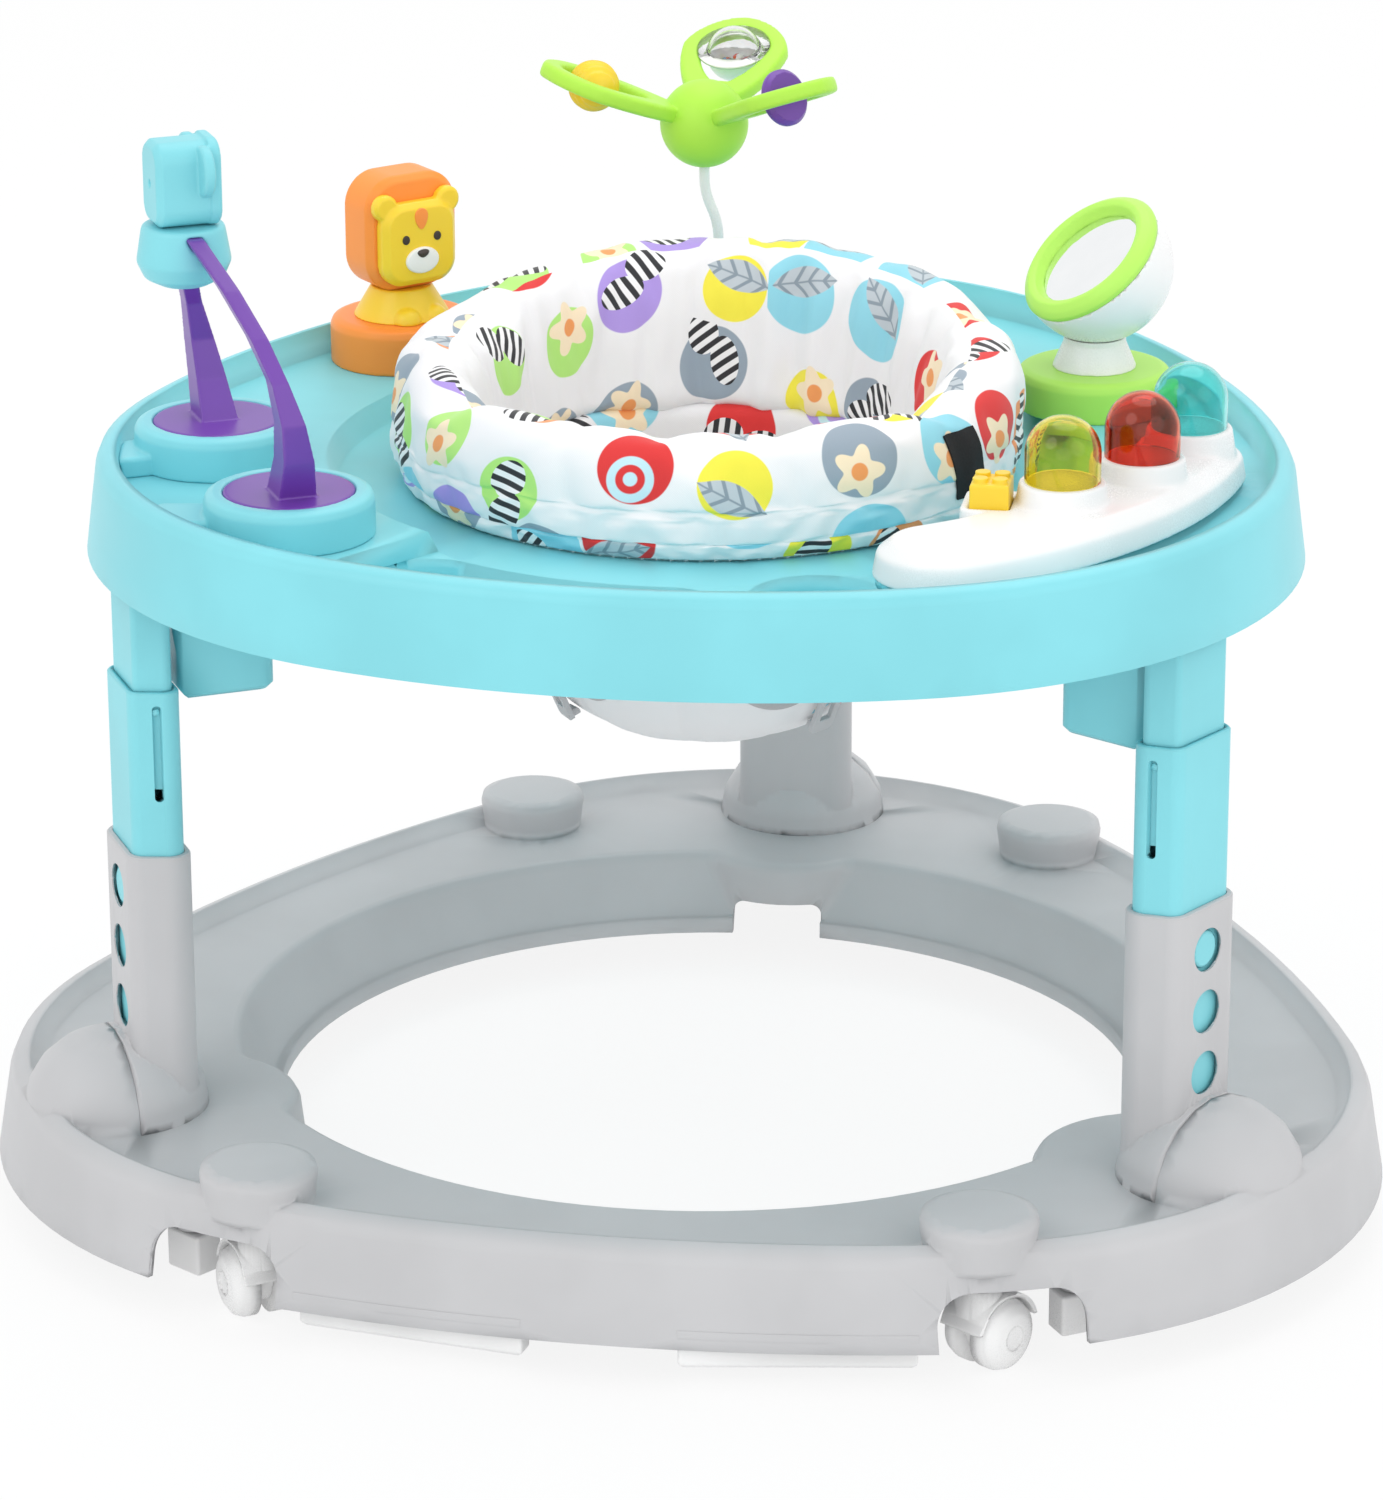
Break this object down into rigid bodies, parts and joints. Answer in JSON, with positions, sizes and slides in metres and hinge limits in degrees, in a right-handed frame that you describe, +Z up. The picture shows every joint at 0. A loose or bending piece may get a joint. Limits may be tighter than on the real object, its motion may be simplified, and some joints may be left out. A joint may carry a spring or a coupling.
{
  "type": "baby activity center",
  "caption": "Round baby activity walker: height-adjustable telescoping legs on a wheeled base, tray with toys and a turning padded seat.",
  "frame": {"origin": "on the floor, under the middle of the base's bounding box", "axes": "+X to the right across the base and -Y towards the front, as seen by someone facing the front; +Z up"},
  "size_m": [0.7512, 0.7298, 0.5868],
  "materials": {
    "grey_shell": "moulded plastic with a fine matt grain",
    "teal_shell": "moulded plastic, satin",
    "white_plastic": "smooth moulded plastic",
    "purple_plastic": "smooth moulded plastic",
    "orange_plastic": "smooth moulded plastic",
    "yellow_plastic": "smooth moulded plastic",
    "lime_plastic": "soft moulded plastic",
    "seat_cloth": null,
    "screw_steel": "plain steel",
    "spring_steel": "plain steel wire",
    "mirror_film": "silvered plastic sheet",
    "clear_yellow": "clear tinted plastic",
    "clear_red": "clear tinted plastic",
    "clear_teal": "clear tinted plastic",
    "clear_shell": "clear colourless plastic",
    "mixed_beads": "small coloured beads"
  },
  "bodies": {
    "base": {"base_tray": "grey_shell", "friction_strips": "white_plastic", "sleeve_screws": "screw_steel", "leg_sleeve_back": "grey_shell", "leg_sleeve_left": "grey_shell", "leg_sleeve_right": "grey_shell"},
    "carriage": {"mid_tube_back": "teal_shell", "mid_tube_left": "teal_shell", "mid_tube_right": "teal_shell", "bounce_springs": "spring_steel"},
    "tray": {"tray_shell": "teal_shell", "tray_post_back": "teal_shell", "tray_post_left": "teal_shell", "tray_post_right": "teal_shell", "link_bases": "teal_shell", "link_arm_front": "purple_plastic", "link_arm_back": "purple_plastic", "link_neck": "teal_shell", "lion_base": "orange_plastic", "lion_body": "yellow_plastic", "mirror_base": "lime_plastic", "mirror_body": "white_plastic", "sound_housing": "white_plastic", "lamp_dome_yellow": "clear_yellow", "lamp_dome_red": "clear_red", "lamp_dome_teal": "clear_teal", "wand_base": "teal_shell"},
    "seat": {"seat_ring": "white_plastic", "seat_retainer": "white_plastic", "seat_rim_pad": "seat_cloth", "seat_pouch": "seat_cloth", "seat_clips": "grey_shell"},
    "animal_head": {"link_head": "teal_shell"},
    "lion_spinner": {"lion_head": "orange_plastic", "lion_face": "yellow_plastic"},
    "mirror_spinner": {"mirror_bowl": "white_plastic", "mirror_frame": "lime_plastic", "mirror_glass": "mirror_film"},
    "key": {"sound_key": "yellow_plastic"},
    "wand": {"wand_stem": "white_plastic", "flower": "lime_plastic", "rattle_bubble": "clear_shell", "rattle_beads": "mixed_beads"},
    "ball_spinner": {"rattle_ball": "yellow_plastic"},
    "disc_spinner": {"spin_disc": "purple_plastic"},
    "button_back": {"lock_button_back": "teal_shell"},
    "button_left": {"lock_button_left": "teal_shell"},
    "button_right": {"lock_button_right": "teal_shell"},
    "fork_front_left": {"caster_fork_front_left": "white_plastic"},
    "wheel_front_left": {"caster_wheel_front_left": "white_plastic"},
    "foot_front_left": {"stop_foot_front_left": "white_plastic"},
    "fork_front_right": {"caster_fork_front_right": "white_plastic"},
    "wheel_front_right": {"caster_wheel_front_right": "white_plastic"},
    "foot_front_right": {"stop_foot_front_right": "white_plastic"},
    "fork_back_left": {"caster_fork_back_left": "white_plastic"},
    "wheel_back_left": {"caster_wheel_back_left": "white_plastic"},
    "foot_back_left": {"stop_foot_back_left": "white_plastic"},
    "fork_back_right": {"caster_fork_back_right": "white_plastic"},
    "wheel_back_right": {"caster_wheel_back_right": "white_plastic"},
    "foot_back_right": {"stop_foot_back_right": "white_plastic"}
  },
  "joints": [
    {"name": "height_slide", "type": "slide", "parent": "base", "child": "carriage", "axis": [0, 0, 1], "range_m": [-0.068, 0]},
    {"name": "bounce_slide", "type": "slide", "parent": "carriage", "child": "tray", "axis": [0, 0, 1], "range_m": [-0.045, 0], "stiffness_N_per_m": 3000, "springref_m": 0.036, "deforming": ["bounce_springs"]},
    {"name": "button_back_press", "type": "slide", "parent": "carriage", "child": "button_back", "axis": [0, 1, 0], "range_m": [-0.003, 0.0012], "stiffness_N_per_m": 400},
    {"name": "button_left_press", "type": "slide", "parent": "carriage", "child": "button_left", "axis": [-0.866, -0.5, 0], "range_m": [-0.003, 0.0012], "stiffness_N_per_m": 400},
    {"name": "button_right_press", "type": "slide", "parent": "carriage", "child": "button_right", "axis": [0.866, -0.5, 0], "range_m": [-0.003, 0.0012], "stiffness_N_per_m": 400},
    {"name": "seat_spin", "type": "hinge", "parent": "tray", "child": "seat", "pos_m": [0, -0.03, 0.38], "axis": [0, 0, 1], "continuous": true},
    {"name": "animal_head_spin", "type": "hinge", "parent": "tray", "child": "animal_head", "pos_m": [-0.24851, -0.16473, 0.541], "axis": [0, 0, 1], "continuous": true},
    {"name": "lion_spin", "type": "hinge", "parent": "tray", "child": "lion_spinner", "pos_m": [-0.198, 0.116, 0.435], "axis": [0, 0, 1], "continuous": true},
    {"name": "mirror_spin", "type": "hinge", "parent": "tray", "child": "mirror_spinner", "pos_m": [0.194, 0.086, 0.417], "axis": [0, 0, 1], "continuous": true},
    {"name": "key_press", "type": "slide", "parent": "tray", "child": "key", "axis": [0, 0, -1], "range_m": [0, 0.003], "stiffness_N_per_m": 300, "springref_m": -0.001},
    {"name": "wand_sway", "type": "hinge", "parent": "tray", "child": "wand", "pos_m": [-0.044, 0.22, 0.3985], "axis": [1, 0, 0], "range_deg": [-8, 8], "stiffness_Nm_per_rad": 6},
    {"name": "ball_spin", "type": "hinge", "parent": "wand", "child": "ball_spinner", "pos_m": [-0.10253, 0.19394, 0.53263], "axis": [0.4067, -0.9135, 0], "continuous": true},
    {"name": "disc_spin", "type": "hinge", "parent": "wand", "child": "disc_spinner", "pos_m": [0.00783, 0.18234, 0.53263], "axis": [0.5878, 0.809, 0], "continuous": true},
    {"name": "swivel_front_left", "type": "hinge", "parent": "base", "child": "fork_front_left", "pos_m": [-0.186, -0.313, 0.047], "axis": [0, 0, 1], "continuous": true},
    {"name": "roll_front_left", "type": "hinge", "parent": "fork_front_left", "child": "wheel_front_left", "pos_m": [-0.19059, -0.30645, 0.019], "axis": [-0.8192, -0.5736, 0], "continuous": true},
    {"name": "foot_slide_front_left", "type": "slide", "parent": "base", "child": "foot_front_left", "axis": [0, 0, -1], "range_m": [0, 0.008]},
    {"name": "swivel_front_right", "type": "hinge", "parent": "base", "child": "fork_front_right", "pos_m": [0.186, -0.313, 0.047], "axis": [0, 0, 1], "continuous": true},
    {"name": "roll_front_right", "type": "hinge", "parent": "fork_front_right", "child": "wheel_front_right", "pos_m": [0.19059, -0.30645, 0.019], "axis": [-0.8192, 0.5736, 0], "continuous": true},
    {"name": "foot_slide_front_right", "type": "slide", "parent": "base", "child": "foot_front_right", "axis": [0, 0, -1], "range_m": [0, 0.008]},
    {"name": "swivel_back_left", "type": "hinge", "parent": "base", "child": "fork_back_left", "pos_m": [-0.155, 0.253, 0.047], "axis": [0, 0, 1], "continuous": true},
    {"name": "roll_back_left", "type": "hinge", "parent": "fork_back_left", "child": "wheel_back_left", "pos_m": [-0.15959, 0.25955, 0.019], "axis": [-0.8192, -0.5736, 0], "continuous": true},
    {"name": "foot_slide_back_left", "type": "slide", "parent": "base", "child": "foot_back_left", "axis": [0, 0, -1], "range_m": [0, 0.008]},
    {"name": "swivel_back_right", "type": "hinge", "parent": "base", "child": "fork_back_right", "pos_m": [0.155, 0.253, 0.047], "axis": [0, 0, 1], "continuous": true},
    {"name": "roll_back_right", "type": "hinge", "parent": "fork_back_right", "child": "wheel_back_right", "pos_m": [0.15959, 0.25955, 0.019], "axis": [-0.8192, 0.5736, 0], "continuous": true},
    {"name": "foot_slide_back_right", "type": "slide", "parent": "base", "child": "foot_back_right", "axis": [0, 0, -1], "range_m": [0, 0.008]}
  ]
}
